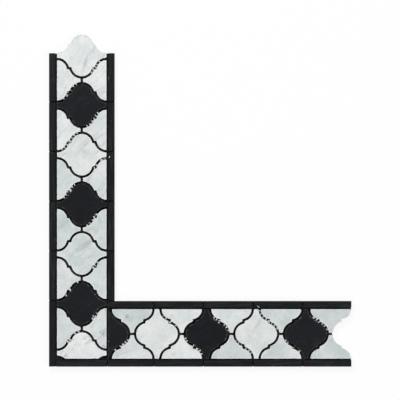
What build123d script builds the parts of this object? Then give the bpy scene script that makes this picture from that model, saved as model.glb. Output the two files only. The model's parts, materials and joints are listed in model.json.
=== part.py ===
from build123d import *
import os
from math import asin, degrees

# Corner of a mosaic border: two legs of lantern shaped marble stones between
# marble strips, all bedded on one sheet of net. One leg ends in a tongue, the
# whole lantern that stands out past its strips, and the other in a socket, the
# lantern shaped notch that takes the tongue of the next length.
#
# The legs' centre lines cross at the origin, on the underside of the net.
# The tongue leg runs along +Y, the socket leg along +X, and +Z is the face.

# Driving dimensions, in millimetres
pitch = 50.0              # along a leg, from one lantern to the next
field_width = 50.0        # across a lantern, tip to tip
tip_width = 4.8           # flat end of a lantern's side tip
ledge_width = 2.4         # straight step half way down each S curve
joint = 1.6               # open joint between two stones
curve_joint = 2.2         # wider joint round the fillers' curves and tips
strip_width = 6.4         # strip along each side of a leg
butt_joint = 0.6          # between two strips end to end
stone_thickness = 10.0    # every stone, face to back
net_thickness = 0.8       # net with its film of glue
net_inset = 1.0           # net held back from the outline of the stones

# Counts of lantern pitches past the corner
tongue_leg_modules = 5
socket_leg_modules = 5

# Widths across a leg, measured from its centre line
field_edge = field_width / 2
filler_reach = field_edge - curve_joint / 2
strip_centre = field_edge + joint + strip_width / 2
leg_edge = field_edge + joint + strip_width

# The S curve that lanterns and fillers share: two equal arcs and the ledge between
# them, the same when turned half round. Lanterns are held back from it by half a
# joint, and fillers, which are cut smaller, by the rest of the wider one.
lantern_clearance = joint / 2
filler_clearance = curve_joint - lantern_clearance
tip_cell = tip_width + joint
ledge_height = pitch / 4
crown_height = (pitch - tip_cell) / 2
arc_rise = crown_height - ledge_height
arc_run = field_width / 4 - ledge_width / 2
arc_radius = (arc_run**2 + arc_rise**2) / (2 * arc_rise)
crown_centre = crown_height - arc_radius
waist_centre = pitch / 2 - crown_centre

# Places along the legs, measured from the crossing of their centre lines.
# Strips meet in line with the upper edge of a lantern's tip, and the socket leg
# starts at the saw cut through the middle of its first lantern.
tongue_leg_start = leg_edge + joint / 2
tongue_leg_end = tongue_leg_start + tongue_leg_modules * pitch - joint / 2
tongue_leg_lantern = tongue_leg_start - tip_cell / 2
socket_leg_start = field_edge + joint / 2
socket_leg_strip = socket_leg_start - tip_cell / 2
socket_leg_end = socket_leg_strip + socket_leg_modules * pitch - joint / 2


def on_tongue_leg(across, along, height=net_thickness):
    """Plane with its Y axis along the tongue leg."""
    return Plane(origin=(across, along, height), x_dir=(1, 0, 0), z_dir=(0, 0, 1))


def on_socket_leg(across, along, height=net_thickness):
    """Plane with its Y axis along the socket leg: the other leg's, turned clockwise."""
    return Plane(origin=(along, -across, height), x_dir=(0, -1, 0), z_dir=(0, 0, 1))


def write(piece, label):
    """Names a finished piece and saves it."""
    piece.part.label = label
    export_step(piece.part, f"parts/{label}.step")


def lantern_shape(clearance):
    """Draws a lantern about the origin, held back from the S curve."""
    crown_radius = arc_radius - clearance
    waist_radius = arc_radius + clearance
    ledge = ledge_height - clearance
    crown_angle = degrees(asin((ledge - crown_centre) / crown_radius))
    waist_angle = degrees(asin((waist_centre - ledge) / waist_radius))
    with BuildSketch() as lantern:
        with BuildLine():
            crown = CenterArc((0, crown_centre), crown_radius, crown_angle, 90 - crown_angle)
            waist = CenterArc((field_edge, waist_centre), waist_radius, 180 + waist_angle, 90 - waist_angle)
            Line(crown @ 0, waist @ 0)
            Line(waist @ 1, (field_edge, 0))
            mirror(about=Plane.YZ)
            mirror(about=Plane.XZ)
        make_face()
    return lantern.sketch


def cut_stone(label, plane, clearance, left, right, low, high):
    """Makes as much of a lantern as lies between the saw cuts given."""
    with BuildPart() as stone:
        with BuildSketch(plane):
            add(lantern_shape(clearance))
            with Locations(((left + right) / 2, (low + high) / 2)):
                Rectangle(right - left, high - low, mode=Mode.INTERSECT)
        extrude(amount=stone_thickness)
    write(stone, label)


def lantern_stone(label, plane, low=-pitch):
    """Makes a lantern, sawn off square below the height given."""
    cut_stone(label, plane, lantern_clearance, -field_edge, field_edge, low, pitch)


def filler_stone(label, on_leg, side, along):
    """Makes a half lantern with its sawn back to the strip on that side of the leg."""
    left, right = sorted((0, -side * filler_reach))
    cut_stone(label, on_leg(side * field_edge, along), filler_clearance, left, right, -pitch, pitch)


def strip_run(label, on_leg, side, start, joints, end):
    """Makes the strips along one side of a leg, parted at the joints given."""
    starts = [start] + [middle + butt_joint / 2 for middle in joints]
    ends = [middle - butt_joint / 2 for middle in joints] + [end]
    for number, (low, high) in enumerate(zip(starts, ends), start=1):
        with BuildPart() as strip:
            with BuildSketch(on_leg(side * strip_centre, (low + high) / 2)):
                Rectangle(strip_width, high - low)
            extrude(amount=stone_thickness)
        write(strip, f"{label}_{number}")


os.makedirs("parts", exist_ok=True)

# Side of each leg that is on the outside of the corner, and the inside
tongue_leg_sides = {"outer": -1, "inner": 1}
socket_leg_sides = {"outer": 1, "inner": -1}

# Tongue leg: the lantern in the corner is sawn off along the edge of the field,
# white and black ones alternate, and the last white one is the tongue
for step in range(tongue_leg_modules + 2):
    colour = "black" if step % 2 else "white"
    centre = tongue_leg_lantern + (step - 1) * pitch
    lantern_stone(
        f"tongue_leg_{colour}_lantern_{step // 2 + 1}",
        on_tongue_leg(0, centre),
        low=max(-pitch, -field_edge - centre),
    )

for step in range(tongue_leg_modules + 1):
    for side_name, side in tongue_leg_sides.items():
        filler_stone(
            f"tongue_leg_filler_{side_name}_{step + 1}",
            on_tongue_leg,
            side,
            tongue_leg_lantern + (step - 0.5) * pitch,
        )

# Socket leg: a black lantern sawn in half on its axis stands against the other
# leg, and the last pair of fillers is left open as the socket
for step in range(socket_leg_modules):
    colour = "white" if step % 2 else "black"
    lantern_stone(
        f"socket_leg_{colour}_lantern_{step // 2 + 1}",
        on_socket_leg(0, socket_leg_start + step * pitch),
        low=-pitch if step else joint / 2,
    )
    for side_name, side in socket_leg_sides.items():
        filler_stone(
            f"socket_leg_filler_{side_name}_{step + 1}",
            on_socket_leg,
            side,
            socket_leg_start + (step + 0.5) * pitch,
        )

# Strips: the outer one of the tongue leg runs down to the corner and the socket
# leg's starts beside it, while the inner two start where the legs meet
tongue_leg_joints = [tongue_leg_start + step * pitch for step in range(tongue_leg_modules)]
socket_leg_joints = [socket_leg_strip + step * pitch for step in range(1, socket_leg_modules)]
strip_run(
    "tongue_leg_strip_outer",
    on_tongue_leg,
    tongue_leg_sides["outer"],
    -leg_edge,
    tongue_leg_joints,
    tongue_leg_end,
)
strip_run(
    "tongue_leg_strip_inner",
    on_tongue_leg,
    tongue_leg_sides["inner"],
    tongue_leg_start + butt_joint / 2,
    tongue_leg_joints[1:],
    tongue_leg_end,
)
strip_run(
    "socket_leg_strip_outer",
    on_socket_leg,
    socket_leg_sides["outer"],
    -leg_edge + strip_width + butt_joint,
    [socket_leg_start] + socket_leg_joints,
    socket_leg_end,
)
strip_run(
    "socket_leg_strip_inner",
    on_socket_leg,
    socket_leg_sides["inner"],
    socket_leg_start + butt_joint / 2,
    socket_leg_joints,
    socket_leg_end,
)

# Net: an L just inside the stones, with a round ended tab under the tongue and
# the socket cut out of it so that the next tongue lies flat
net_edge = leg_edge - net_inset
tab_radius = arc_radius - lantern_clearance - net_inset
tab_centre = tongue_leg_lantern + tongue_leg_modules * pitch + crown_centre
with BuildPart() as net_backing:
    with BuildSketch():
        with Locations((-net_edge, -net_edge)):
            Rectangle(2 * net_edge, net_edge + tongue_leg_end - net_inset, align=Align.MIN)
            Rectangle(net_edge + socket_leg_end - net_inset, 2 * net_edge, align=Align.MIN)
        Rectangle(2 * tab_radius, tab_centre, align=(Align.CENTER, Align.MIN))
        with Locations((0, tab_centre)):
            Circle(tab_radius)
    extrude(amount=net_thickness)
    with BuildSketch(on_socket_leg(0, socket_leg_start + socket_leg_modules * pitch, 0)):
        add(lantern_shape(-filler_clearance - net_inset))
    extrude(amount=net_thickness, mode=Mode.SUBTRACT)
write(net_backing, "net_backing")
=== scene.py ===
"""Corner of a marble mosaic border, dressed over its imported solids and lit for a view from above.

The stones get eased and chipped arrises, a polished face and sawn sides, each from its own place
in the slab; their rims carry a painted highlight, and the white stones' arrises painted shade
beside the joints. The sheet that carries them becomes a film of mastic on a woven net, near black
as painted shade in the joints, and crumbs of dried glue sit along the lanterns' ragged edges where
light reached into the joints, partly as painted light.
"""

import json
import logging
import math
from collections.abc import Callable
from dataclasses import dataclass
from enum import Enum
from functools import partial

import bmesh
import bpy
import numpy as np
from bpy.types import Material, Mesh, Node, NodeSocket, NodeTree, Object
from mathutils import Matrix, Vector


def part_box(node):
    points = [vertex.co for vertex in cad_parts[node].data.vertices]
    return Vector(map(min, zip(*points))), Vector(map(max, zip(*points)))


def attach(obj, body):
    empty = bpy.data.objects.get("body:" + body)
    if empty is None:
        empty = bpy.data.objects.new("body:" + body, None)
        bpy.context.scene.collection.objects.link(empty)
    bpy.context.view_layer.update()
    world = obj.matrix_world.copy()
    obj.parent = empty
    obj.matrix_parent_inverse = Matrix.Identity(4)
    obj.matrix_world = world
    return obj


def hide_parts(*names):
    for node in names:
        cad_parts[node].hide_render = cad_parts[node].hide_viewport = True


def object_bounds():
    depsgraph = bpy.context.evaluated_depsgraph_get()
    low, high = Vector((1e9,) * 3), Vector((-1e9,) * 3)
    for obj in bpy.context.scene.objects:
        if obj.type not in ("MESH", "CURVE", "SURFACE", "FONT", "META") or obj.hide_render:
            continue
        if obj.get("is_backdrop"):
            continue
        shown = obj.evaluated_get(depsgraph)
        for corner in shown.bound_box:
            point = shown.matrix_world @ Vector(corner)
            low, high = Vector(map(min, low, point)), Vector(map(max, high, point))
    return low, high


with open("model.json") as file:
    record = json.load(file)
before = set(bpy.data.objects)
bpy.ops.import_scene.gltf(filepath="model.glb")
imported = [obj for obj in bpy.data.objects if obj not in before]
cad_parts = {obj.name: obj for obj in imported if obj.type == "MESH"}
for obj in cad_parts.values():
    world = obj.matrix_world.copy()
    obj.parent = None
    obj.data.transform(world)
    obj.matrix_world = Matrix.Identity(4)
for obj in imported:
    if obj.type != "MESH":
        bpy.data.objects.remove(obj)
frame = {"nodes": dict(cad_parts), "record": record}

MM = 0.001
IMAGE_PX = 400
BODY = "root"
NET_NODE = "net_backing"

# Kinds of node that are used often
ATTRIBUTE = "ShaderNodeAttribute"
BUMP = "ShaderNodeBump"
COORDINATES = "ShaderNodeTexCoord"
MAP_RANGE = "ShaderNodeMapRange"
MAPPING = "ShaderNodeMapping"
MATH = "ShaderNodeMath"
MIX = "ShaderNodeMix"
NOISE = "ShaderNodeTexNoise"
RANDOM = "FunctionNodeRandomValue"
SET_POSITION = "GeometryNodeSetPosition"
VECTOR_MATH = "ShaderNodeVectorMath"

# Outlines: points that are one, in metres, the rise of a normal that faces up, the least divisor
# at a sharp corner, the share of a move that has to be clear, and a sharp edge in degrees
SAME_POINT = 1e-6
FACES_UP = 0.5
LEAST_SPREAD = 0.4
CLEAR_SHARE = 0.99
SHARP_EDGE = 50.0

# How far in from both its sides a quarter round is half way along, as a share of its radius
ROUND_MIDDLE = 0.29

# The level that noise lies about, and the radius of a ring or a lump that is one across
NOISE_MIDDLE = 0.5
UNIT_RADIUS = 0.5

AddNode = Callable[..., Node]
Triple = tuple[float, float, float]

log = logging.getLogger("border_corner")


class Marble(Enum):
    """The two marbles, by the record's slot for each."""

    WHITE = "white_marble"
    BLACK = "black_marble"

    @property
    def spread(self) -> float:
        """How much the stones of one marble differ in tone, which shows less in black."""
        return 0.03 if self is Marble.WHITE else 0.11

    @property
    def marking(self) -> tuple[float, float]:
        """The range in which veins or scratches show on most stones."""
        return (0.2, 0.8) if self is Marble.WHITE else (0.05, 0.3)


class Cut(Enum):
    """The three shapes that stones are cut to, by the word in their names."""

    LANTERN = "lantern"
    FILLER = "filler"
    STRIP = "strip"

    @property
    def greyness(self) -> tuple[float, float]:
        """The range of the tint in a stone, which is strongest in fillers, cut from what is left."""
        return (0.05, 0.35) if self is Cut.FILLER else (0.0, 0.14)


def linear(hex_colour: str) -> tuple[float, float, float, float]:
    """Turns an sRGB colour to linear.

    Args:
        hex_colour: A hash sign and six hex digits.

    Returns:
        Linear red, green and blue, and an alpha of one.
    """
    levels = [int(hex_colour[start : start + 2], 16) / 255 for start in (1, 3, 5)]
    red, green, blue = (v / 12.92 if v <= 0.04045 else ((v + 0.055) / 1.055) ** 2.4 for v in levels)
    return red, green, blue, 1.0


def per_metre(size_mm: float) -> float:
    """Gives the texture scale at which a pattern's features are about size_mm wide."""
    return 1 / (size_mm * MM)


def add_node(tree: NodeTree, kind: str, inputs: dict[str | int, object], **settings: object) -> Node:
    """Adds a node to a shader or geometry tree.

    Args:
        tree: The tree that gets the node.
        kind: The node's type.
        inputs: What each input takes, by its name or number: a value, a socket to link, or a node,
            whose first output is linked.
        **settings: The node's own properties.

    Returns:
        The new node.
    """
    node = tree.nodes.new(kind)
    for name, value in settings.items():
        setattr(node, name, value)
    named = {socket.name: socket for socket in node.inputs if socket.enabled}
    for key, value in inputs.items():
        taker = named[key] if isinstance(key, str) else node.inputs[key]
        if isinstance(value, Node):
            value = next(socket for socket in value.outputs if socket.enabled)
        if isinstance(value, NodeSocket):
            tree.links.new(value, taker)
        else:
            taker.default_value = value
    return node


def new_material(name: str) -> tuple[Material, AddNode]:
    """Makes an empty material.

    Args:
        name: What the material is called.

    Returns:
        The material, with no nodes in it, and add_node for its tree.
    """
    material = bpy.data.materials.new(name)
    material.use_nodes = True
    material.node_tree.nodes.clear()
    return material, partial(add_node, material.node_tree)


def surfaced(material: Material, surface: dict[str, object]) -> Material:
    """Ends a material in a shader.

    Args:
        material: The material.
        surface: What the shader's inputs take.

    Returns:
        The same material.
    """
    shader = add_node(material.node_tree, "ShaderNodeBsdfPrincipled", surface)
    add_node(material.node_tree, "ShaderNodeOutputMaterial", {"Surface": shader})
    return material


def prism(node: Object) -> tuple[np.ndarray, float, float]:
    """Reads the outline of a CAD solid that is a plain prism.

    Args:
        node: The CAD object, whose triangles are loose.

    Returns:
        The outline's points in order, anticlockwise from above, and the heights of the solid's
        underside and top.
    """
    solid = bmesh.new()
    solid.from_mesh(node.data)
    bmesh.ops.remove_doubles(solid, verts=solid.verts, dist=SAME_POINT)
    heights = [vert.co.z for vert in solid.verts]
    follows = {}
    for face in (face for face in solid.faces if face.normal.z > FACES_UP):
        for loop in face.loops:
            if all(other is face or other.normal.z < FACES_UP for other in loop.edge.link_faces):
                follows[loop.vert.index] = loop.link_loop_next.vert.index
    solid.verts.ensure_lookup_table()
    walk = [next(iter(follows))]
    while follows[walk[-1]] != walk[0]:
        walk.append(follows[walk[-1]])
    outline = np.array([solid.verts[index].co.xy for index in walk])
    solid.free()
    return outline, min(heights), max(heights)


def middle(outline: np.ndarray) -> np.ndarray:
    """Gives the middle of the box round an outline."""
    return (outline.min(axis=0) + outline.max(axis=0)) / 2


def refined(outline: np.ndarray, step: float) -> np.ndarray:
    """Divides the long sides of a closed outline.

    Args:
        outline: Its points in order.
        step: The longest side to leave, in metres.

    Returns:
        The outline with points added in line.
    """
    points = []
    for start, end in zip(outline, np.roll(outline, -1, axis=0)):
        parts = max(1, math.ceil(np.linalg.norm(end - start) / step))
        points.extend(start + (end - start) * part / parts for part in range(parts))
    return np.array(points)


def inward(outline: np.ndarray) -> np.ndarray:
    """Gives the directions in which an anticlockwise outline shrinks evenly.

    Args:
        outline: Its points in order.

    Returns:
        One vector for each point, longer at corners so that both sides move alike.
    """
    sides = np.roll(outline, -1, axis=0) - outline
    sides /= np.linalg.norm(sides, axis=1)[:, None]
    normals = np.stack([-sides[:, 1], sides[:, 0]], axis=1)
    before = np.roll(normals, 1, axis=0)
    spread = 1 + np.sum(normals * before, axis=1)
    return (normals + before) / np.maximum(spread, LEAST_SPREAD)[:, None]


def rounded(outline: np.ndarray, passes: int) -> np.ndarray:
    """Softens the corners of a closed outline.

    Args:
        outline: Its points in order, about evenly spaced.
        passes: How often each point is moved half way to the middle of its neighbours.

    Returns:
        The softened outline.
    """
    for _ in range(passes):
        outline = (np.roll(outline, 1, axis=0) + 2 * outline + np.roll(outline, -1, axis=0)) / 4
    return outline


def shrunk(outline: np.ndarray, reach: np.ndarray) -> np.ndarray:
    """Moves an outline inward without letting it fold over itself at its corners.

    Args:
        outline: Its points in order, anticlockwise.
        reach: How far each point moves, in metres.

    Returns:
        The smaller outline, with as many points.
    """
    moved = outline + inward(outline) * reach[:, None]
    sides = np.roll(outline, -1, axis=0) - outline
    away = moved[:, None] - outline[None]
    share = np.clip(np.sum(away * sides, axis=2) / np.sum(sides * sides, axis=1), 0, 1)
    clear = np.linalg.norm(away - share[..., None] * sides, axis=2).min(axis=1)
    kept = np.flatnonzero(clear > CLEAR_SHARE * reach)
    places = np.arange(len(outline))
    columns = [np.interp(places, kept, moved[kept, axis], period=len(outline)) for axis in (0, 1)]
    return np.stack(columns, axis=1)


def raised(outline: np.ndarray, height: np.ndarray | float) -> np.ndarray:
    """Gives the points of an outline a height."""
    return np.column_stack([outline, np.broadcast_to(height, len(outline))])


def closed_stack(name: str, loops: list[np.ndarray], flat_rings: int = 0) -> Mesh:
    """Makes a closed solid from outlines with as many points each.

    Args:
        name: What the mesh is called.
        loops: The outlines from top to bottom, each anticlockwise from above.
        flat_rings: How many rings of faces next to the top are part of it.

    Returns:
        The mesh, smooth round its sides and flat on its top and underside.
    """
    count = len(loops[0])
    last = count * (len(loops) - 1)
    faces = [tuple(range(count))]
    for upper in range(0, last, count):
        lower = upper + count
        for here in range(count):
            after = (here + 1) % count
            faces.append((upper + here, lower + here, lower + after, upper + after))
    faces.append(tuple(range(last + count - 1, last - 1, -1)))
    mesh = bpy.data.meshes.new(name)
    mesh.from_pydata(np.concatenate(loops).tolist(), [], faces)
    mesh.shade_smooth()
    mesh.set_sharp_from_angle(angle=math.radians(SHARP_EDGE))
    smooth = np.ones(len(faces), dtype=bool)
    smooth[: 1 + flat_rings * count] = False
    smooth[-1] = False
    mesh.polygons.foreach_set("use_smooth", smooth)
    return mesh


def add_piece(name: str, mesh: Mesh, material: Material) -> Object:
    """Puts a finished mesh into the scene as a piece that rides on the tile.

    Args:
        name: The piece's name.
        mesh: Its mesh, in the shared frame.
        material: What it is made of.

    Returns:
        The piece.
    """
    mesh.materials.clear()
    mesh.materials.append(material)
    piece = bpy.data.objects.new(name, mesh)
    bpy.context.collection.objects.link(piece)
    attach(piece, BODY)
    return piece


def set_attribute(mesh: Mesh, name: str, values: np.ndarray, domain: str = "POINT") -> None:
    """Stores a number or a vector for each point of a mesh, or for each corner of its faces.

    Args:
        mesh: The mesh.
        name: The attribute's name, which a material or a tree reads.
        values: One row for each point or corner.
        domain: POINT or CORNER.
    """
    kind, slot = ("FLOAT_VECTOR", "vector") if values.ndim == 2 else ("FLOAT", "value")
    attribute = mesh.attributes.new(name, kind, domain)
    attribute.data.foreach_set(slot, values.astype(np.float32).ravel())


def ringed(upper: np.ndarray, lower: np.ndarray) -> np.ndarray:
    """Spreads values along two outlines over the corners of the faces between them."""
    return np.stack([upper, lower, np.roll(lower, -1), np.roll(upper, -1)], axis=1).ravel()


def new_tree(name: str, sizes: list[str]) -> tuple[NodeTree, AddNode, dict[str, NodeSocket]]:
    """Starts a geometry tree with named inputs.

    Args:
        name: What the tree is called.
        sizes: Names of its inputs that are numbers.

    Returns:
        The tree, add_node for it, and what it is given, by those names, Geometry and Material.
    """
    tree = bpy.data.node_groups.new(name, "GeometryNodeTree")
    tree.interface.new_socket("Geometry", in_out="OUTPUT", socket_type="NodeSocketGeometry")
    tree.interface.new_socket("Geometry", in_out="INPUT", socket_type="NodeSocketGeometry")
    for size in sizes:
        tree.interface.new_socket(size, in_out="INPUT", socket_type="NodeSocketFloat")
    tree.interface.new_socket("Material", in_out="INPUT", socket_type="NodeSocketMaterial")
    add = partial(add_node, tree)
    return tree, add, {socket.name: socket for socket in add("NodeGroupInput", {}).outputs}


def grown(tree: NodeTree, lines: Mesh, values: dict[str, object]) -> Mesh:
    """Runs a geometry tree on lines and keeps the result as a plain mesh.

    Args:
        tree: The tree.
        lines: A mesh of edges that the tree follows.
        values: What its named inputs are set to.

    Returns:
        The mesh.
    """
    carrier = bpy.data.objects.new(tree.name, lines)
    bpy.context.collection.objects.link(carrier)
    modifier = carrier.modifiers.new(tree.name, "NODES")
    modifier.node_group = tree
    for item in tree.interface.items_tree:
        if item.in_out == "INPUT" and item.name in values:
            modifier[item.identifier] = values[item.name]
    depsgraph = bpy.context.evaluated_depsgraph_get()
    mesh = bpy.data.meshes.new_from_object(carrier.evaluated_get(depsgraph))
    bpy.data.objects.remove(carrier)
    return mesh


def edge_mesh(name: str, lines: list[np.ndarray]) -> Mesh:
    """Makes a mesh of open lines.

    Args:
        name: What the mesh is called.
        lines: Each line's points in order.

    Returns:
        A mesh of edges.
    """
    edges = []
    start = 0
    for line in lines:
        edges.extend((start + here, start + here + 1) for here in range(len(line) - 1))
        start += len(line)
    mesh = bpy.data.meshes.new(name)
    mesh.from_pydata(np.concatenate(lines).tolist(), edges, [])
    return mesh


@dataclass(frozen=True)
class Showing:
    """How a noise shows as a pattern: the levels between which it comes up, and its full strength."""

    low: float
    high: float
    strength: float = 1.0

    def of(self, noise: Node) -> dict[str, object]:
        """Gives the inputs of a Map Range node that brings the pattern up."""
        return {"Value": noise, "From Min": self.low, "From Max": self.high, "To Max": self.strength}


@dataclass(frozen=True)
class PolishedMarble:
    """Marble that was cut by water jet and polished on its face. Sizes are in millimetres."""

    face_roughness: float = 0.15
    side_roughness: float = 0.62
    ior: float = 1.57
    jet_line: Triple = (0.9, 0.9, 12.6)
    jet_depth: float = 0.25
    jet_strength: float = 0.55

    def finished(self, material: Material, colour: Node, polish: NodeSocket) -> Material:
        """Ends the material, glossy on the face and dull on the sides with the jet's upright lines.

        Args:
            material: The marble's material.
            colour: Its colour.
            polish: One on the face and zero on the sides.

        Returns:
            The same material.
        """
        add = partial(add_node, material.node_tree)
        place = add(COORDINATES, {}).outputs["Object"]
        scale = tuple(map(per_metre, self.jet_line))
        upright = add(MAPPING, {"Vector": place, "Scale": scale})
        lines = add(NOISE, {"Vector": upright, "Scale": 1.0, "Detail": 2.0})
        strength = add(MAP_RANGE, {"Value": polish, "To Min": self.jet_strength, "To Max": 0.0})
        bump = add(BUMP, {"Strength": strength, "Distance": self.jet_depth * MM, "Height": lines})
        ends = {"To Min": self.side_roughness, "To Max": self.face_roughness}
        roughness = add(MAP_RANGE, {"Value": polish, **ends})
        surface = {"Base Color": colour, "Roughness": roughness, "IOR": self.ior, "Normal": bump}
        return surfaced(material, surface)


@dataclass(frozen=True)
class PolishedCarrara(PolishedMarble):
    """White Carrara marble, cut by water jet and polished on its face. Sizes are in millimetres."""

    name: str = "white Carrara marble, polished"
    ground: str = "#E9EBEA"
    cloud: str = "#B8C4C4"
    vein: str = "#8A9497"
    bruise: str = "#6F7879"
    # Whiter rim of stunned crystals, also a painted highlight along the arris
    stun_and_highlight: str = "#F1F2F1"
    # Grey of mastic on the arris, also painted shade on the white stones beside the joints
    mastic_and_shade: str = "#4E5151"
    drift_size: float = 30.0
    cloud_drift: float = 20.0
    cloud_size: float = 19.0
    clouds: Showing = Showing(0.33, 0.7, 0.42)
    vein_drift: float = 14.0
    vein_size: Triple = (42.0, 6.0, 42.0)
    veins: Showing = Showing(0.48, 0.8, 0.7)
    patches: Showing = Showing(0.48, 0.68)
    patch_growth: float = 0.2
    bruise_size: float = 10.0
    bruises: Showing = Showing(0.56, 0.7, 0.75)
    crystal: float = 2.2
    crystal_tones: tuple[float, float] = (0.9, 1.1)
    stun_and_highlight_strength: float = 0.75
    soil_and_shade_strength: float = 0.8

    def material(self) -> Material:
        """Builds the material.

        Returns:
            A calm cool white with soft grey clouds and broken diagonal veins, glossy on the face
            and dull on the sides, where the jet leaves upright lines.
        """
        material, add = new_material(self.name)
        slab = add(ATTRIBUTE, {}, attribute_name="slab").outputs["Vector"]
        tone, greyness, marking, spots, rim, soil_and_shade, polish = (
            add(ATTRIBUTE, {}, attribute_name=name).outputs["Fac"]
            for name in ("tone", "greyness", "marking", "spots", "rim", "soil_and_shade", "polish")
        )

        # The beds of the slab are bent, so that clouds and veins wander, the veins less
        drift = per_metre(self.drift_size)
        bend = add(NOISE, {"Vector": slab, "Scale": drift, "Detail": 2.0}).outputs["Color"]
        bent, swayed = (
            add(VECTOR_MATH, {0: bend, 1: (reach * MM,) * 3, 2: slab}, operation="MULTIPLY_ADD")
            for reach in (self.cloud_drift, self.vein_drift)
        )
        scale = per_metre(self.cloud_size)
        clouds = add(NOISE, {"Vector": bent, "Scale": scale, "Detail": 7.0, "Roughness": 0.68})
        clouded = add(MAP_RANGE, self.clouds.of(clouds), interpolation_type="SMOOTHSTEP")
        greyed = add(MATH, {0: clouded, 1: greyness}, operation="ADD", use_clamp=True)

        # Veins are strokes along the bedding, kept only in patches
        scale = tuple(map(per_metre, self.vein_size))
        along = add(MAPPING, {"Vector": swayed, "Scale": scale})
        strokes = add(NOISE, {"Vector": along, "Scale": 1.0, "Detail": 4.0, "Roughness": 0.6})
        line = add(MAP_RANGE, self.veins.of(strokes), interpolation_type="SMOOTHSTEP")
        spread = add(NOISE, {"Vector": slab, "Scale": drift, "Detail": 1.0})
        wider = add(MATH, {0: marking, 1: self.patch_growth, 2: spread}, operation="MULTIPLY_ADD")
        patch = add(MAP_RANGE, self.patches.of(wider), interpolation_type="SMOOTHSTEP")
        broken = add(MATH, {0: line, 1: patch}, operation="MULTIPLY")
        veined = add(MATH, {0: broken, 1: marking}, operation="MULTIPLY", use_clamp=True)

        # Small grey bruises, a few to a stone at most
        scale = per_metre(self.bruise_size)
        bruises = add(NOISE, {"Vector": slab, "Scale": scale, "Detail": 3.0, "Roughness": 0.55})
        bruised = add(MAP_RANGE, self.bruises.of(bruises), interpolation_type="SMOOTHSTEP")
        spotted = add(MATH, {0: bruised, 1: spots}, operation="MULTIPLY")
        colour = linear(self.ground)
        for share, tint in ((greyed, self.cloud), (veined, self.vein), (spotted, self.bruise)):
            colour = add(MIX, {"Factor": share, "A": colour, "B": linear(tint)}, data_type="RGBA")

        # Calcite crystals are about a third of a millimetre: drawn coarser, so that they show
        crystals = add(NOISE, {"Vector": slab, "Scale": per_metre(self.crystal), "Detail": 2.0})
        dull, bright = self.crystal_tones
        glint = add(MAP_RANGE, {"Value": crystals, "To Min": dull, "To Max": bright})
        level = add(MATH, {0: glint, 1: tone}, operation="MULTIPLY")
        colour = add("ShaderNodeHueSaturation", {"Color": colour, "Value": level})

        # Saw and jet leave stunned crystals next to the cut, a whiter rim that is also a painted
        # highlight along the arris, and mastic that was wiped off the face stays on the arris, also as
        # painted shade beside the joints
        for mark, strength, tint in ((rim, self.stun_and_highlight_strength, self.stun_and_highlight), (soil_and_shade, self.soil_and_shade_strength, self.mastic_and_shade)):
            share = add(MAP_RANGE, {"Value": mark, "To Max": strength})
            colour = add(MIX, {"Factor": share, "A": colour, "B": linear(tint)}, data_type="RGBA")
        return self.finished(material, colour, polish)


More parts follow.
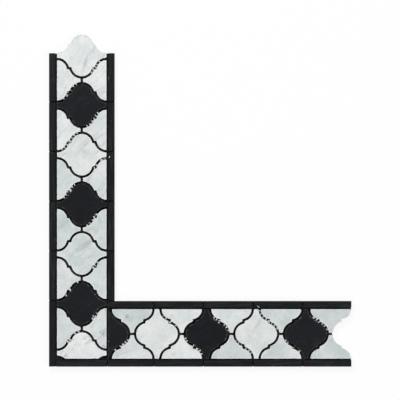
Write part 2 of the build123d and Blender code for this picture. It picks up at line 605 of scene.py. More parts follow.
@dataclass(frozen=True)
class PolishedBlackMarble(PolishedMarble):
    """Black marble, cut by water jet and polished on its face. Sizes are in millimetres."""

    name: str = "black marble, polished"
    ground: str = "#0C0E13"
    cloud: str = "#14161C"
    earth: str = "#221F1B"
    thread: str = "#6F6D69"
    speck: str = "#868A8F"
    sawn: str = "#343436"
    # Dust in the worn rim, also a painted highlight along the arris
    dust: str = "#56534A"
    bruise: str = "#8F8E8A"
    drift_size: float = 40.0
    cloud_drift: float = 14.0
    cloud_size: float = 17.0
    clouds: Showing = Showing(0.3, 0.7)
    thread_gap: Triple = (70.0, 22.0, 70.0)
    thread_width: float = 0.012
    thread_strength: float = 0.03
    scratch_size: Triple = (26.0, 1.1, 26.0)
    scratches: Showing = Showing(0.5, 0.8, 0.09)
    speck_size: float = 2.2
    specks: Showing = Showing(0.73, 0.84, 0.4)
    dust_and_highlight_showing: Showing = Showing(0.4, 0.65, 0.7)
    side_greyness: float = 0.85
    face_roughness: float = 0.13
    side_roughness: float = 0.6
    ior: float = 1.5

    def material(self) -> Material:
        """Builds the material.

        Returns:
            A cool near black with faint clouds, calcite specks and a few hair veins, glossy on the
            face, while sawn sides and chipped arrises turn grey.
        """
        material, add = new_material(self.name)
        slab = add(ATTRIBUTE, {}, attribute_name="slab").outputs["Vector"]
        tone, greyness, marking, rim, chip, polish = (
            add(ATTRIBUTE, {}, attribute_name=name).outputs["Fac"]
            for name in ("tone", "greyness", "marking", "rim", "chip", "polish")
        )
        scale = per_metre(self.drift_size)
        bend = add(NOISE, {"Vector": slab, "Scale": scale, "Detail": 2.0}).outputs["Color"]
        reach = (self.cloud_drift * MM,) * 3
        bent = add(VECTOR_MATH, {0: bend, 1: reach, 2: slab}, operation="MULTIPLY_ADD")
        scale = per_metre(self.cloud_size)
        clouds = add(NOISE, {"Vector": bent, "Scale": scale, "Detail": 6.0, "Roughness": 0.6})
        clouded = add(MAP_RANGE, self.clouds.of(clouds))

        # Hair veins of calcite: the thin places where stretched noise passes its middle
        scale = tuple(map(per_metre, self.thread_gap))
        along = add(MAPPING, {"Vector": bent, "Scale": scale})
        ridge = add(NOISE, {"Vector": along, "Scale": 1.0, "Detail": 3.0})
        off_middle = add(MATH, {0: ridge, 1: NOISE_MIDDLE}, operation="SUBTRACT")
        distance = add(MATH, {0: off_middle}, operation="ABSOLUTE")
        fade = {"From Max": self.thread_width, "To Min": self.thread_strength, "To Max": 0.0}
        threaded = add(MAP_RANGE, {"Value": distance, **fade})

        # Handling scratches run one way on each stone, and specks of calcite are scattered over it
        scale = tuple(map(per_metre, self.scratch_size))
        brushed = add(MAPPING, {"Vector": slab, "Scale": scale})
        strokes = add(NOISE, {"Vector": brushed, "Scale": 1.0, "Detail": 2.0})
        scratched = add(MAP_RANGE, self.scratches.of(strokes))
        rubbed = add(MATH, {0: scratched, 1: marking}, operation="MULTIPLY")
        specks = add(NOISE, {"Vector": slab, "Scale": per_metre(self.speck_size), "Detail": 2.0})
        specked = add(MAP_RANGE, self.specks.of(specks))
        marked = add(MATH, {0: rubbed, 1: specked}, operation="MAXIMUM")
        colour = linear(self.ground)
        for share, tint in (
            (clouded, self.cloud),
            (greyness, self.earth),
            (threaded, self.thread),
            (marked, self.speck),
        ):
            colour = add(MIX, {"Factor": share, "A": colour, "B": linear(tint)}, data_type="RGBA")
        colour = add("ShaderNodeHueSaturation", {"Color": colour, "Value": tone})

        # Crushed stone scatters light, so the cut sides are grey and a fresh chip is pale, and dust
        # of the cutting stays in the worn rim, here and there, a paler rim that is also a painted
        # highlight along the arris
        sided = add(MAP_RANGE, {"Value": polish, "To Min": self.side_greyness, "To Max": 0.0})
        settled_dust_and_highlight = add(MAP_RANGE, self.dust_and_highlight_showing.of(specks))
        dust_and_highlight_share = add(MATH, {0: rim, 1: settled_dust_and_highlight}, operation="MULTIPLY")
        for share, tint in ((sided, self.sawn), (dust_and_highlight_share, self.dust), (chip, self.bruise)):
            colour = add(MIX, {"Factor": share, "A": colour, "B": linear(tint)}, data_type="RGBA")
        return self.finished(material, colour, polish)


@dataclass(frozen=True)
class RolledMasticAndShade:
    """Dark mastic, rolled through the net and dried, near black also as painted shade in the joints.
    Sizes are in millimetres.
    """

    name: str = "dark mastic, rolled on net"
    # Near black: the mastic's colour and painted shade in the deep joints
    ground: str = "#0E0E10"
    showing: str = "#4C4A46"
    lump_size: float = 3.0
    print_core: float = 0.25
    print_edge: float = 0.9
    bump_strength: float = 0.6
    bump_depth: float = 0.3
    roughness: float = 0.7

    def material(self, mesh_size: float, thread_width: float) -> Material:
        """Builds the material.

        Args:
            mesh_size: From one thread of the net to the next, in millimetres.
            thread_width: The width of a thread, in millimetres.

        Returns:
            A dull near black, partly painted shade, so that the joints read as black lines, with the
            threads of the net showing through as raised grey lines where a joint is wide enough to see
            them.
        """
        material, add = new_material(self.name)
        place = add(COORDINATES, {}).outputs["Object"]
        axes = add("ShaderNodeSeparateXYZ", {"Vector": place}).outputs
        core, edge = (thread_width * share * MM for share in (self.print_core, self.print_edge))
        fade = {"From Min": core, "From Max": edge, "To Min": 1.0, "To Max": 0.0}
        prints = []
        for axis in ("X", "Y"):
            away = add(MATH, {0: axes[axis], 1: mesh_size / 2 * MM}, operation="PINGPONG")
            prints.append(add(MAP_RANGE, {"Value": away, **fade}, interpolation_type="SMOOTHSTEP"))
        threads = add(MATH, dict(enumerate(prints)), operation="MAXIMUM")
        lumps = add(NOISE, {"Vector": place, "Scale": per_metre(self.lump_size), "Detail": 4.0})
        share = add(MATH, {0: threads, 1: lumps}, operation="MULTIPLY")
        tones = {"A": linear(self.ground), "B": linear(self.showing)}
        colour = add(MIX, {"Factor": share, **tones}, data_type="RGBA")
        height = add(MATH, {0: threads, 1: lumps}, operation="ADD")
        depth = self.bump_depth * MM
        bump = add(BUMP, {"Strength": self.bump_strength, "Distance": depth, "Height": height})
        return surfaced(material, {"Base Color": colour, "Roughness": self.roughness, "Normal": bump})


@dataclass(frozen=True)
class MottledFinish:
    """A finish of two tones that follow one fine noise, which roughens it too. Sizes in millimetres."""

    name: str
    ground: str
    shade: str
    grain: float
    swirl: float
    bump_strength: float
    bump_depth: float
    roughness: float
    ior: float

    def material(self) -> Material:
        """Builds the material.

        Returns:
            The two tones, with the darker one a little raised.
        """
        material, add = new_material(self.name)
        place = add(COORDINATES, {}).outputs["Object"]
        scale = per_metre(self.grain)
        grain = add(NOISE, {"Vector": place, "Scale": scale, "Detail": 3.0, "Distortion": self.swirl})
        tones = {"A": linear(self.ground), "B": linear(self.shade)}
        colour = add(MIX, {"Factor": grain, **tones}, data_type="RGBA")
        depth = self.bump_depth * MM
        bump = add(BUMP, {"Strength": self.bump_strength, "Distance": depth, "Height": grain})
        surface = {"Base Color": colour, "Roughness": self.roughness, "IOR": self.ior, "Normal": bump}
        return surfaced(material, surface)


# Off white with fine darker streaks, as bundled filaments have
WOVEN_GLASS_FIBRE = MottledFinish(
    name="glass fibre yarn, woven",
    ground="#D3D0C4",
    shade="#A29F92",
    grain=0.35,
    swirl=0.6,
    bump_strength=0.5,
    bump_depth=0.08,
    roughness=0.55,
    ior=1.52,
)

# Milky white with grey dust in it, slightly glossy
DRIED_GLUE = MottledFinish(
    name="white glue, dried with stone dust",
    ground="#E4E6E3",
    shade="#B9BBB7",
    grain=0.8,
    swirl=0.0,
    bump_strength=0.4,
    bump_depth=0.15,
    roughness=0.5,
    ior=1.5,
)


@dataclass(frozen=True)
class EdgeWear:
    """How the arris of a stone is eased and chipped. Sizes in millimetres, the rest as shares."""

    arris: float
    chips_per_metre: float
    chip_length: float = 1.5
    chip_depth: float = 0.5
    chip_roundness: float = 0.6
    shortest_chip: float = 0.3
    shallowest_chip: float = 0.25
    waves: int = 3
    wave_counts: tuple[int, int] = (3, 14)
    wave_height: float = 0.1

    def easing(self, outline: np.ndarray, rng: np.random.Generator) -> tuple[np.ndarray, np.ndarray]:
        """Works out how far the arris is taken back round a stone.

        Args:
            outline: The stone's outline, in metres.
            rng: The stone's own source of chance.

        Returns:
            The easing at each point, in metres, and how far it is chipped there, from 0 to 1.
        """
        sides = np.linalg.norm(np.roll(outline, -1, axis=0) - outline, axis=1)
        place = np.concatenate([[0.0], np.cumsum(sides)[:-1]])
        total = sides.sum()
        counts = rng.integers(*self.wave_counts, self.waves)
        starts = rng.uniform(0, math.tau, self.waves)
        turns = math.tau * place / total
        wander = sum(np.sin(turns * count + start) for count, start in zip(counts, starts))
        chipped = np.zeros(len(outline))
        for _ in range(rng.poisson(self.chips_per_metre * total)):
            half = self.chip_length * MM * rng.uniform(self.shortest_chip, 1.0)
            away = np.abs(place - rng.uniform(0, total))
            away = np.minimum(away, total - away)
            profile = np.clip(1 - away / half, 0, 1) ** self.chip_roundness
            chipped = np.maximum(chipped, rng.uniform(self.shallowest_chip, 1.0) * profile)
        easing = self.arris * (1 + self.wave_height * wander) + self.chip_depth * chipped
        return easing * MM, chipped


@dataclass
class Stone:
    """One stone, with its own wear and its own place in the slab.

    Sizes are in millimetres. The bedding has the mean and the spread of its angle, in degrees.
    """

    name: str
    marble: Marble
    rng: np.random.Generator
    outline_step: float = 0.5
    jet_rounding: int = 3
    rim_width: float = 0.5
    end_wear: float = 2.4
    end_slope: float = 5.0
    lippage: float = 0.05
    tilt: float = 0.0012
    bedding: tuple[float, float] = (50.0, 13.0)
    slab_reach: float = 900.0
    tones: tuple[float, float] = (0.75, 1.25)
    faint_spots: float = 0.2
    strip_scratches: float = 1.2
    # Share of the arris's mastic and painted shade at the top of the bevel
    arris_soil_and_shade: float = 0.3
    arris_polish: float = 0.9
    strong_veins: float = 0.85
    veined_stones: tuple[str, ...] = (
        "tongue_leg_white_lantern_2",
        "tongue_leg_white_lantern_4",
        "tongue_leg_filler_outer_6",
    )
    strong_spots: float = 0.7
    spotted_stones: tuple[str, ...] = (
        "tongue_leg_white_lantern_1",
        "tongue_leg_filler_inner_1",
        "socket_leg_filler_inner_1",
    )
    strong_greyness: float = 0.42
    grey_stones: tuple[str, ...] = (
        "tongue_leg_white_lantern_2",
        "tongue_leg_filler_inner_2",
        "tongue_leg_filler_outer_3",
        "tongue_leg_filler_outer_4",
        "socket_leg_filler_inner_1",
        "socket_leg_filler_inner_5",
        "socket_leg_filler_outer_5",
    )
    pale_stones: tuple[str, ...] = (
        "tongue_leg_filler_inner_6",
        "tongue_leg_filler_outer_6",
        "socket_leg_filler_inner_2",
        "socket_leg_white_lantern_1",
    )

    @property
    def cut(self) -> Cut:
        """What the stone is cut to."""
        return next(kind for kind in Cut if kind.value in self.name)

    @property
    def wear(self) -> EdgeWear:
        """The stone's wear.

        Returns:
            Strips are sawn, so they chip less than shapes cut by jet, and black marble chips most.
        """
        if self.cut is Cut.STRIP:
            return EdgeWear(arris=0.12, chips_per_metre=5.0, chip_depth=0.25)
        return EdgeWear(arris=0.25, chips_per_metre=40.0 if self.marble is Marble.BLACK else 18.0)

    def shape(self) -> tuple[list[np.ndarray], np.ndarray]:
        """Shapes the stone over its CAD node, a little out of level.

        Returns:
            Its outlines from the face down to the bed, and how far it is chipped at each point.
        """
        outline, bed, face = prism(frame["nodes"][self.name])
        outline = refined(outline, self.outline_step * MM)
        if self.cut is not Cut.STRIP:
            outline = rounded(outline, self.jet_rounding)
        easing, chipped = self.wear.easing(outline, self.rng)
        drop = easing.copy()
        if self.cut is Cut.STRIP:
            along = outline[:, np.argmax(np.ptp(outline, axis=0))]
            ends = np.isclose(along, along.min()) | np.isclose(along, along.max())
            easing[ends] *= self.end_wear
            drop[ends] = easing[ends] * self.end_slope
        centre = middle(outline)
        slope = self.rng.normal(0, self.tilt, 2)
        top = face + np.clip(self.rng.normal(0, self.lippage / 2), -self.lippage, self.lippage) * MM
        level = top + (outline - centre) @ slope
        rim = shrunk(outline, np.full(len(outline), easing.max() + self.rim_width * MM))
        loops = [
            raised(rim, top + (rim - centre) @ slope),
            raised(shrunk(outline, easing), level),
            raised(shrunk(outline, ROUND_MIDDLE * easing), level - ROUND_MIDDLE * drop),
            raised(outline, level - drop),
            raised(outline, bed),
        ]
        return loops, chipped

    def bedded(self, loops: list[np.ndarray]) -> np.ndarray:
        """Places the stone in the slab that it was cut from.

        Args:
            loops: The stone's outlines.

        Returns:
            The place of each of its points in the slab, in metres, with X along the bedding, or
            along a strip.
        """
        outline = loops[-1][:, :2]
        turn = math.radians(self.rng.normal(*self.bedding))
        if self.cut is Cut.STRIP:
            turn = np.argmax(np.ptp(outline, axis=0)) * math.pi / 2
        turned = np.array([[math.cos(turn), -math.sin(turn)], [math.sin(turn), math.cos(turn)]])
        points = np.concatenate(loops)
        points[:, :2] = (points[:, :2] - middle(outline)) @ turned
        return points + self.rng.uniform(0, self.slab_reach * MM, 3)

    def tints(self) -> dict[str, float]:
        """Chooses how the stone differs from the others of its marble.

        Returns:
            The attributes that its material reads, which are the same all over the stone.
        """
        tints = {
            "tone": np.clip(self.rng.normal(1, self.marble.spread), *self.tones),
            "greyness": self.rng.uniform(*self.cut.greyness),
            "marking": self.rng.uniform(*self.marble.marking),
            "spots": self.rng.uniform(0, self.faint_spots),
        }
        if self.cut is Cut.STRIP:
            tints["marking"] = self.strip_scratches
        for stones, tint, strength in (
            (self.veined_stones, "marking", self.strong_veins),
            (self.spotted_stones, "spots", self.strong_spots),
            (self.grey_stones, "greyness", self.strong_greyness),
            (self.pale_stones, "greyness", 0.0),
        ):
            if self.name in stones:
                tints[tint] = strength
        return tints

    def marks(self, chipped: np.ndarray) -> dict[str, np.ndarray]:
        """Says where the stone's wear shows, and where its rim and arris carry painted highlight and
        painted shade.

        Args:
            chipped: How far it is chipped at each point of its outline.

        Returns:
            The attributes that its material reads, for the corners of its faces from the top down.
        """
        all_round, none = np.ones(len(chipped)), np.zeros(len(chipped))
        rim = none if self.cut is Cut.STRIP else all_round
        side, arris, bitten, worn_and_highlight = (ringed(row, row) for row in (none, all_round, chipped, rim))
        wiped_soil_and_shade = ringed(self.arris_soil_and_shade * all_round, all_round)
        rows = {
            # rim: the stunned rim on white and the dusty rim on black, also a painted highlight along
            # the arris
            "rim": [none, ringed(none, rim), worn_and_highlight, worn_and_highlight, side, none],
            # soil: mastic on the arris and painted shade beside the joints, fading down the sides
            "soil_and_shade": [none, side, wiped_soil_and_shade, arris, ringed(all_round, none), none],
            "polish": [all_round, arris, arris, self.arris_polish * arris, side, none],
            "chip": [none, ringed(none, chipped), bitten, bitten, side, none],
        }
        return {mark: np.concatenate(row) for mark, row in rows.items()}

    def build(self, material: Material) -> Object:
        """Makes the dressed stone in place of its CAD node.

        Args:
            material: Its marble's material.

        Returns:
            The stone.
        """
        loops, chipped = self.shape()
        mesh = closed_stack(self.name, loops, flat_rings=1)
        set_attribute(mesh, "slab", self.bedded(loops))
        for tint, strength in self.tints().items():
            set_attribute(mesh, tint, np.full(len(mesh.vertices), strength))
        for mark, values in self.marks(chipped).items():
            set_attribute(mesh, mark, values, "CORNER")
        piece = add_piece(f"dressed_{self.name}", mesh, material)
        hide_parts(self.name)
        return piece


@dataclass
class StoneWork:
    """All the stones, in white and black marble."""

    seed: int = 4801

    def build(self) -> list[Object]:
        """Makes every stone.

        Returns:
            The stones.
        """
        materials = {
            Marble.WHITE: PolishedCarrara().material(),
            Marble.BLACK: PolishedBlackMarble().material(),
        }
        slots = {row["node"]: row["material_slot"] for row in frame["record"]["subparts"]}
        pieces = []
        for number, name in enumerate(sorted(frame["nodes"])):
            if name != NET_NODE:
                marble = Marble(slots[name])
                stone = Stone(name, marble, np.random.default_rng(self.seed + number))
                pieces.append(stone.build(materials[marble]))
        return pieces


@dataclass
class NetBacking:
    """The woven net under the stones and the film of mastic that holds it, near black also as painted
    shade in the joints. Sizes in millimetres.
    """

    mesh_size: float = 4.2
    thread_width: float = 0.75
    thread_thickness: float = 0.26
    thread_sides: int = 6
    weave_height: float = 0.11
    shortest_step: float = 0.05
    film_bottom: float = 0.3
    film_reach: float = 0.98
    film_least: float = 0.8
    film_lip: float = 0.3
    film_step: float = 4.0
    seed: int = 26

    def film(self) -> Object:
        """Makes the film of mastic, near black also as painted shade in the joints, whose uneven edge
        lies just past the ends of the threads.

        Returns:
            The film, which stands for the net's CAD node.
        """
        rng = np.random.default_rng(self.seed)
        outline, bottom, top = prism(frame["nodes"][NET_NODE])
        outline = refined(outline, self.film_step * MM)
        reach = self.film_reach * MM * rng.uniform(self.film_least, 1.0, len(outline))
        edge = outline - inward(outline) * reach[:, None]
        lip = outline - inward(outline) * (reach - self.film_lip * MM)[:, None]
        low = bottom + self.film_bottom * MM
        loops = [raised(lip, top), raised(edge, (top + low) / 2), raised(lip, low)]
        mesh = closed_stack("mastic_and_shade_film", loops)
        material = RolledMasticAndShade().material(self.mesh_size, self.thread_width)
        piece = add_piece("mastic_and_shade_film", mesh, material)
        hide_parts(NET_NODE)
        return piece

    def runs(self, outline: np.ndarray, axis: int) -> list[np.ndarray]:
        """Lays the threads that run one way, each as far as the net reaches.

        Args:
            outline: The net's outline, in metres.
            axis: 0 for threads along X, 1 for threads along Y.

        Returns:
            Each thread's points, at its crossings and half way between them.
        """
        across = 1 - axis
        spacing = self.mesh_size * MM
        start, end = outline, np.roll(outline, -1, axis=0)
        first = math.ceil(outline[:, across].min() / spacing)
        last = math.floor(outline[:, across].max() / spacing)
        threads = []
        for number in range(first, last + 1):
            place = number * spacing
            meets = (start[:, across] > place) != (end[:, across] > place)
            share = (place - start[meets, across]) / (end[meets, across] - start[meets, across])
            ends = np.sort(start[meets, axis] + share * (end[meets, axis] - start[meets, axis]))
            for low, high in zip(ends[::2], ends[1::2]):
                halves = np.arange(math.ceil(low / spacing * 2), math.floor(high / spacing * 2) + 1)
                along = np.concatenate([[low], halves * spacing / 2, [high]])
                along = along[np.concatenate([[True], np.diff(along) > self.shortest_step * MM])]
                points = np.zeros((len(along), 3))
                points[:, axis] = along
                points[:, across] = place
                threads.append(points)
        return threads

    def weave(self) -> NodeTree:
        """Builds the tree that turns straight lines into flat yarn that passes over and under.

        Returns:
            The tree.
        """
        sizes = ["Mesh size", "Thread width", "Thread thickness", "Weave height"]
        tree, add, given = new_tree("net_weave", sizes)
        yarn = add("GeometryNodeMeshToCurve", {"Mesh": given["Geometry"]})
        place = add("GeometryNodeInputPosition", {})
        axes = add("ShaderNodeSeparateXYZ", {"Vector": place}).outputs

        # The yarn waves both along and across its way, so that each crossing alternates with the next
        half_turn = add(MATH, {0: math.pi, 1: given["Mesh size"]}, operation="DIVIDE")
        lift = add("GeometryNodeInputNamedAttribute", {"Name": "way"}, data_type="FLOAT")
        for axis in ("X", "Y"):
            angle = add(MATH, {0: axes[axis], 1: half_turn}, operation="MULTIPLY")
            wave = add(MATH, {0: angle}, operation="COSINE")
            lift = add(MATH, {0: lift, 1: wave}, operation="MULTIPLY")
        lift = add(MATH, {0: lift, 1: given["Weave height"]}, operation="MULTIPLY")
        offset = add("ShaderNodeCombineXYZ", {"Z": lift})
        woven = add(SET_POSITION, {"Geometry": yarn, "Offset": offset})
        level = add("GeometryNodeSetCurveNormal", {"Curve": woven}, mode="Z_UP")
        ring = {"Resolution": self.thread_sides, "Radius": UNIT_RADIUS}
        round_yarn = add("GeometryNodeCurvePrimitiveCircle", ring)
        flat = {"X": given["Thread width"], "Y": given["Thread thickness"], "Z": 1.0}
        squeeze = add("ShaderNodeCombineXYZ", flat)
        flat_yarn = add("GeometryNodeTransform", {"Geometry": round_yarn, "Scale": squeeze})
        swept = {"Curve": level, "Profile Curve": flat_yarn, "Fill Caps": True}
        real = add("GeometryNodeRealizeInstances", {"Geometry": add("GeometryNodeCurveToMesh", swept)})
        dressed = add("GeometryNodeSetMaterial", {"Geometry": real, "Material": given["Material"]})
        add("NodeGroupOutput", {"Geometry": dressed})
        return tree

    def threads(self) -> Object:
        """Makes the woven threads, half sunk in the film.

        Returns:
            The threads.
        """
        outline, bottom, _ = prism(frame["nodes"][NET_NODE])
        height = bottom + (self.weave_height + self.thread_thickness / 2) * MM
        lines, ways = [], []
        for axis, way in ((0, -1.0), (1, 1.0)):
            for thread in self.runs(outline, axis):
                lines.append(thread + (0, 0, height))
                ways.append(np.full(len(thread), way))
        paths = edge_mesh("net_threads", lines)
        set_attribute(paths, "way", np.concatenate(ways))
        material = WOVEN_GLASS_FIBRE.material()
        values = {
            "Mesh size": self.mesh_size * MM,
            "Thread width": self.thread_width * MM,
            "Thread thickness": self.thread_thickness * MM,
            "Weave height": self.weave_height * MM,
            "Material": material,
        }
        mesh = grown(self.weave(), paths, values)
        mesh.shade_smooth()
        piece = add_piece("net_threads", mesh, material)
        return piece

    def build(self) -> list[Object]:
        """Makes the film and the threads.

        Returns:
            Both pieces.
        """
        film = self.film()
        threads = self.threads()
        return [film, threads]


@dataclass(frozen=True)
class Smear:
    """A smear of glue beside a lantern's tip. Sizes are in millimetres, and its angle in degrees."""

    x: float
    y: float
    angle: float
    size: Triple = (3.2, 0.75, 0.5)
    sunk: float = 0.05


@dataclass
class GlueCrumbs:
    """Crumbs of glue and stone dust along the ragged sides of the lanterns. Sizes in millimetres.

    The crumbs lie along two opposite sides of each lantern, where light reached into the joints, so they
    are glue and partly painted light in those joints.
    """

    outline_step: float = 0.5
    fewest_steps: int = 8
    halved_share: float = 0.75
    stand_off: float = 1.5
    sunk: float = 0.75
    off_axis: float = 1.0
    begins: tuple[float, float] = (3.0, 6.0)
    ends: tuple[float, float] = (14.0, 20.0)
    clean_sides: tuple[tuple[str, int], ...] = (
        ("tongue_leg_white_lantern_1", 1),
        ("tongue_leg_white_lantern_2", -1),
        ("socket_leg_white_lantern_1", -1),
    )
    spacing: float = 3.4
    share: float = 0.75
    size: float = 2.3
    shares_of_size: tuple[Triple, Triple] = ((0.35, 0.95, 0.45), (0.95, 1.2, 0.75))
    scatter: float = 0.35
    shares_of_scatter: tuple[Triple, Triple] = ((-1.0, -1.0, -1.0), (1.0, 1.0, 0.6))
    twist: tuple[Triple, Triple] = ((-0.3, -0.3, -0.5), (0.3, 0.3, 0.5))
    crumb_divisions: int = 2
    ruggedness: float = 2.6
    grit: float = 1.1
    smears: tuple[Smear, ...] = (
        Smear(27.8, 178.3, angle=60.0),
        Smear(22.9, 177.0, angle=8.0, size=(4.2, 2.4, 1.0), sunk=5.45),
        Smear(177.9, 27.5, angle=-45.0),
        Smear(179.3, 23.0, angle=100.0, size=(2.8, 2.4, 1.0), sunk=5.45),
    )
    smear_divisions: int = 3
    seed: int = 7

    def ragged_and_lit_sides(self) -> list[np.ndarray]:
        """Finds the ragged sides that get crumbs, those where light reached into the joints.

        Returns:
            A line along each of them, just outside the stone and just below its face.
        """
        lanterns = sorted(name for name in frame["nodes"] if Cut.LANTERN.value in name)
        rng = np.random.default_rng(self.seed)

        # The tongue is a whole lantern, and its upper half stands free
        low, high = max((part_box(name) for name in lanterns), key=lambda box: box[1].y)
        whole = high.y - low.y
        top_joint = high.y - whole / 2
        lines = []
        for name in lanterns:
            outline, _, face = prism(frame["nodes"][name])
            outline = refined(outline, self.outline_step * MM)
            away = raised(outline - inward(outline) * self.stand_off * MM, face - self.sunk * MM)
            on_tongue_leg = "tongue_leg" in name
            far = outline.max(axis=0)
            place = outline - ((0, far[1] - whole / 2) if on_tongue_leg else (far[0] - whole / 2, 0))
            around = np.abs(place[:, 0] if on_tongue_leg else place[:, 1]) / MM

            # The crumbed sides lie on one diagonal, or the other on whole lanterns of the socket leg, as
            # the light reached into the joints there
            halved = not on_tongue_leg and np.ptp(outline[:, 0]) < self.halved_share * whole
            falls = 1 if on_tongue_leg or halved else -1
            for side in (-1, 1):
                across, along = place[:, 0] * side, place[:, 1] * side * falls
                chosen = (across > self.off_axis * MM) & (along < -self.off_axis * MM)
                chosen &= (around > rng.uniform(*self.begins)) & (around < rng.uniform(*self.ends))
                chosen &= outline[:, 1] < top_joint
                steps = np.flatnonzero(chosen)
                if len(steps) < self.fewest_steps or (name, side) in self.clean_sides:
                    continue
                gap = np.flatnonzero(np.diff(steps) > 1)
                steps = np.roll(steps, -(gap[0] + 1)) if len(gap) else steps
                lines.append(away[steps])
        return lines

    def scattering(self) -> NodeTree:
        """Builds the tree that scatters lumps along lines.

        Returns:
            The tree.
        """
        sizes = ["Spacing", "Size", "Scatter", "Ruggedness", "Grit per metre", "Share", "Seed"]
        tree, add, given = new_tree("glue_crumbs", sizes)
        path = add("GeometryNodeMeshToCurve", {"Mesh": given["Geometry"]})
        steps = {"Curve": path, "Length": given["Spacing"]}
        spaced = add("GeometryNodeResampleCurve", steps, mode="LENGTH")
        stray, shape, twist = (
            add(RANDOM, {"Min": low, "Max": high, "Seed": given["Seed"]}, data_type="FLOAT_VECTOR")
            for low, high in (self.shares_of_scatter, self.shares_of_size, self.twist)
        )
        offset = add(VECTOR_MATH, {"Vector": stray, "Scale": given["Scatter"]}, operation="SCALE")
        loose = add(SET_POSITION, {"Geometry": spaced, "Offset": offset})
        chance = {"Probability": given["Share"], "Seed": given["Seed"]}
        kept = add(RANDOM, chance, data_type="BOOLEAN")
        ball = {"Radius": UNIT_RADIUS, "Subdivisions": self.crumb_divisions}
        lump = add("GeometryNodeMeshIcoSphere", ball)
        scale = add(VECTOR_MATH, {"Vector": shape, "Scale": given["Size"]}, operation="SCALE")
        way = add("GeometryNodeInputTangent", {})
        along = add("FunctionNodeAlignRotationToVector", {"Vector": way}, axis="X")
        turn = add("FunctionNodeRotateRotation", {"Rotation": along, "Rotate By": twist})
        places = {"Points": loose, "Selection": kept, "Instance": lump, "Rotation": turn, "Scale": scale}
        lumps = add("GeometryNodeInstanceOnPoints", places)
        real = add("GeometryNodeRealizeInstances", {"Geometry": lumps})

        # Noise pushes the points of each lump about, so that no two are alike
        place = add("GeometryNodeInputPosition", {})
        rough = add(NOISE, {"Vector": place, "Scale": given["Grit per metre"], "Detail": 2.0})
        level = (NOISE_MIDDLE,) * 3
        both_ways = add(VECTOR_MATH, {0: rough.outputs["Color"], 1: level}, operation="SUBTRACT")
        push = add(VECTOR_MATH, {"Vector": both_ways, "Scale": given["Ruggedness"]}, operation="SCALE")
        rugged = add(SET_POSITION, {"Geometry": real, "Offset": push})
        dressed = add("GeometryNodeSetMaterial", {"Geometry": rugged, "Material": given["Material"]})
        add("NodeGroupOutput", {"Geometry": dressed})
        return tree

    def smeared(self, material: Material) -> Object:
        """Makes the smears of glue in the joints beside two lanterns' tips and on the strips there.

        Args:
            material: The glue.

        Returns:
            One piece with all of them.
        """
        face = max(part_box(name)[1].z for name in frame["nodes"])
        lumps = bmesh.new()
        for smear in self.smears:
            place = Matrix.Translation((smear.x * MM, smear.y * MM, face - smear.sunk * MM))
            lean = Matrix.Rotation(math.radians(smear.angle), 4, "Z")
            stretch = Matrix.Diagonal((*(length / 2 * MM for length in smear.size), 1.0))
            bmesh.ops.create_icosphere(
                lumps,
                subdivisions=self.smear_divisions,
                radius=1.0,
                matrix=place @ lean @ stretch,
            )
        mesh = bpy.data.meshes.new("glue_smears")
        lumps.to_mesh(mesh)
        lumps.free()
        mesh.shade_smooth()
        return add_piece("glue_smears", mesh, material)

    def build(self) -> list[Object]:
        """Makes the crumbs and the smears.

        Returns:
            One piece with all the crumbs, and one with the smears.
        """
        material = DRIED_GLUE.material()
        values = {
            "Spacing": self.spacing * MM,
            "Size": self.size * MM,
            "Scatter": self.scatter * MM,
            "Ruggedness": self.ruggedness * MM,
            "Grit per metre": per_metre(self.grit),
            "Share": self.share,
            "Seed": float(self.seed),
            "Material": material,
        }
        mesh = grown(self.scattering(), edge_mesh("glue_crumbs", self.ragged_and_lit_sides()), values)
        mesh.shade_flat()
        pieces = [add_piece("glue_crumbs", mesh, material), self.smeared(material)]
        return pieces


@dataclass(frozen=True)
class Softbox:
    """A square softbox, aimed at the tile.

    Angles are in degrees and sizes in metres. Its level is how bright it makes white paper, from
    0 to 1.
    """

    name: str
    azimuth: float
    elevation: float
    level: float
    size: float = 1.0
    distance: float = 2.4

    def build(self, target: Vector) -> None:
        """Hangs the softbox.

        Args:
            target: The point that it is aimed at.
        """
        lamp = bpy.data.lights.new(self.name, "AREA")
        lamp.size = self.size
        rise = math.sin(math.radians(self.elevation))
        flat = math.cos(math.radians(self.elevation))
        lamp.energy = self.level * math.pi**2 * self.distance**2 / rise
        angle = math.radians(self.azimuth)
        direction = Vector((flat * math.cos(angle), flat * math.sin(angle), rise))
        stand = bpy.data.objects.new(self.name, lamp)
        stand.location = target + direction * self.distance
        stand.rotation_euler = direction.to_track_quat("Z", "Y").to_euler()
        bpy.context.collection.objects.link(stand)


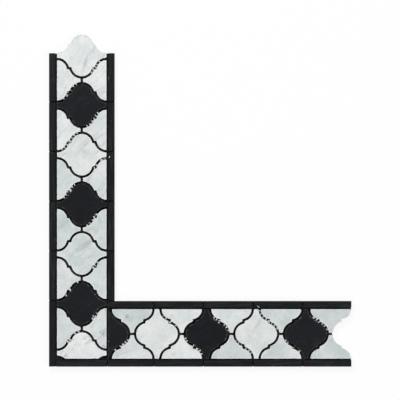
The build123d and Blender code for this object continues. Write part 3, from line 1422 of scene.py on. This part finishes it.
@dataclass
class Studio:
    """White floor, soft light from the upper left, and the camera straight above the tile.

    The pixels are where the photograph has the tile's left, right and lower edges. Lengths are in
    metres, apart from the camera's sensor, which is in millimetres.
    """

    left_px: float = 49.0
    right_px: float = 351.5
    bottom_px: float = 366.7
    camera_height: float = 4.0
    sensor_width: float = 36.0
    floor_reach: float = 30.0
    floor_gap: float = 0.02 * MM
    floor_colour: str = "#F7F7F7"
    floor_glow: float = 0.88
    sky_colour: str = "#FDFEFF"
    sky_level: float = 0.2
    softboxes: tuple[Softbox, ...] = (
        Softbox("key_softbox", azimuth=118.0, elevation=62.0, level=0.495),
        Softbox("fill_softbox", azimuth=-20.0, elevation=62.0, level=0.24),
        Softbox("low_softbox", azimuth=-110.0, elevation=62.0, level=0.14),
    )

    def floor_material(self) -> Material:
        """Builds the floor's material.

        Returns:
            Matt white paper that the camera and reflections see as nearly plain white, with what
            is left of the tile's shadow.
        """
        material, add = new_material("white paper, matt")
        ray = add("ShaderNodeLightPath", {}).outputs
        mirrored = add(MATH, {0: ray["Is Camera Ray"], 1: ray["Is Glossy Ray"]}, operation="ADD")
        seen = add(MATH, {0: mirrored, 1: ray["Is Transmission Ray"]}, operation="ADD", use_clamp=True)
        share = add(MATH, {0: seen, 1: self.floor_glow}, operation="MULTIPLY")
        paper = add("ShaderNodeBsdfDiffuse", {"Color": linear(self.floor_colour)})
        glow = add("ShaderNodeEmission", {"Color": linear("#FFFFFF"), "Strength": 1.0})
        mixed = add("ShaderNodeMixShader", {"Fac": share, 1: paper, 2: glow})
        add("ShaderNodeOutputMaterial", {"Surface": mixed})
        return material

    def floor(self, low: Vector, high: Vector) -> None:
        """Lays the floor under the tile.

        Args:
            low: The tile's lowest corner.
            high: Its highest corner.
        """
        x, y = (low.x + high.x) / 2, (low.y + high.y) / 2
        corners = [
            (x + right * self.floor_reach, y + back * self.floor_reach, low.z - self.floor_gap)
            for right, back in ((-1, -1), (1, -1), (1, 1), (-1, 1))
        ]
        mesh = bpy.data.meshes.new("floor")
        mesh.from_pydata(corners, [], [(0, 1, 2, 3)])
        mesh.materials.append(self.floor_material())
        floor = bpy.data.objects.new("floor", mesh)
        bpy.context.collection.objects.link(floor)
        floor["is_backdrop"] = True

    def camera(self, low: Vector, high: Vector) -> None:
        """Hangs the camera so that the tile falls on the photograph's pixels.

        Args:
            low: The tile's lowest corner.
            high: Its highest corner.
        """
        metre_per_px = (high.x - low.x) / (self.right_px - self.left_px)
        x = low.x + (IMAGE_PX / 2 - self.left_px) * metre_per_px
        y = low.y + (self.bottom_px - IMAGE_PX / 2) * metre_per_px
        data = bpy.data.cameras.new("camera")
        data.sensor_width = self.sensor_width
        data.lens = data.sensor_width * self.camera_height / (IMAGE_PX * metre_per_px)
        camera = bpy.data.objects.new("camera", data)
        camera.location = (x, y, high.z + self.camera_height)
        bpy.context.collection.objects.link(camera)
        bpy.context.scene.camera = camera

    def build(self, low: Vector, high: Vector) -> None:
        """Sets up the studio.

        Args:
            low: The tile's lowest corner.
            high: Its highest corner.
        """
        scene = bpy.context.scene
        scene.view_settings.view_transform = "Standard"
        world = bpy.data.worlds.new("studio")
        world.use_nodes = True
        sky = world.node_tree.nodes["Background"]
        sky.inputs["Color"].default_value = linear(self.sky_colour)
        sky.inputs["Strength"].default_value = self.sky_level
        scene.world = world
        self.floor(low, high)
        target = Vector(((low.x + high.x) / 2, (low.y + high.y) / 2, high.z))
        for softbox in self.softboxes:
            softbox.build(target)
        self.camera(low, high)


def main() -> None:
    """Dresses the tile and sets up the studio."""
    logging.basicConfig(level=logging.INFO, format="%(message)s")
    cad_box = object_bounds()
    for assembly in (StoneWork(), NetBacking(), GlueCrumbs()):
        for piece in assembly.build():
            log.info("%s: %s, %d faces", type(assembly).__name__, piece.name, len(piece.data.polygons))
    Studio().build(*cad_box)


if __name__ == "__main__":
    main()
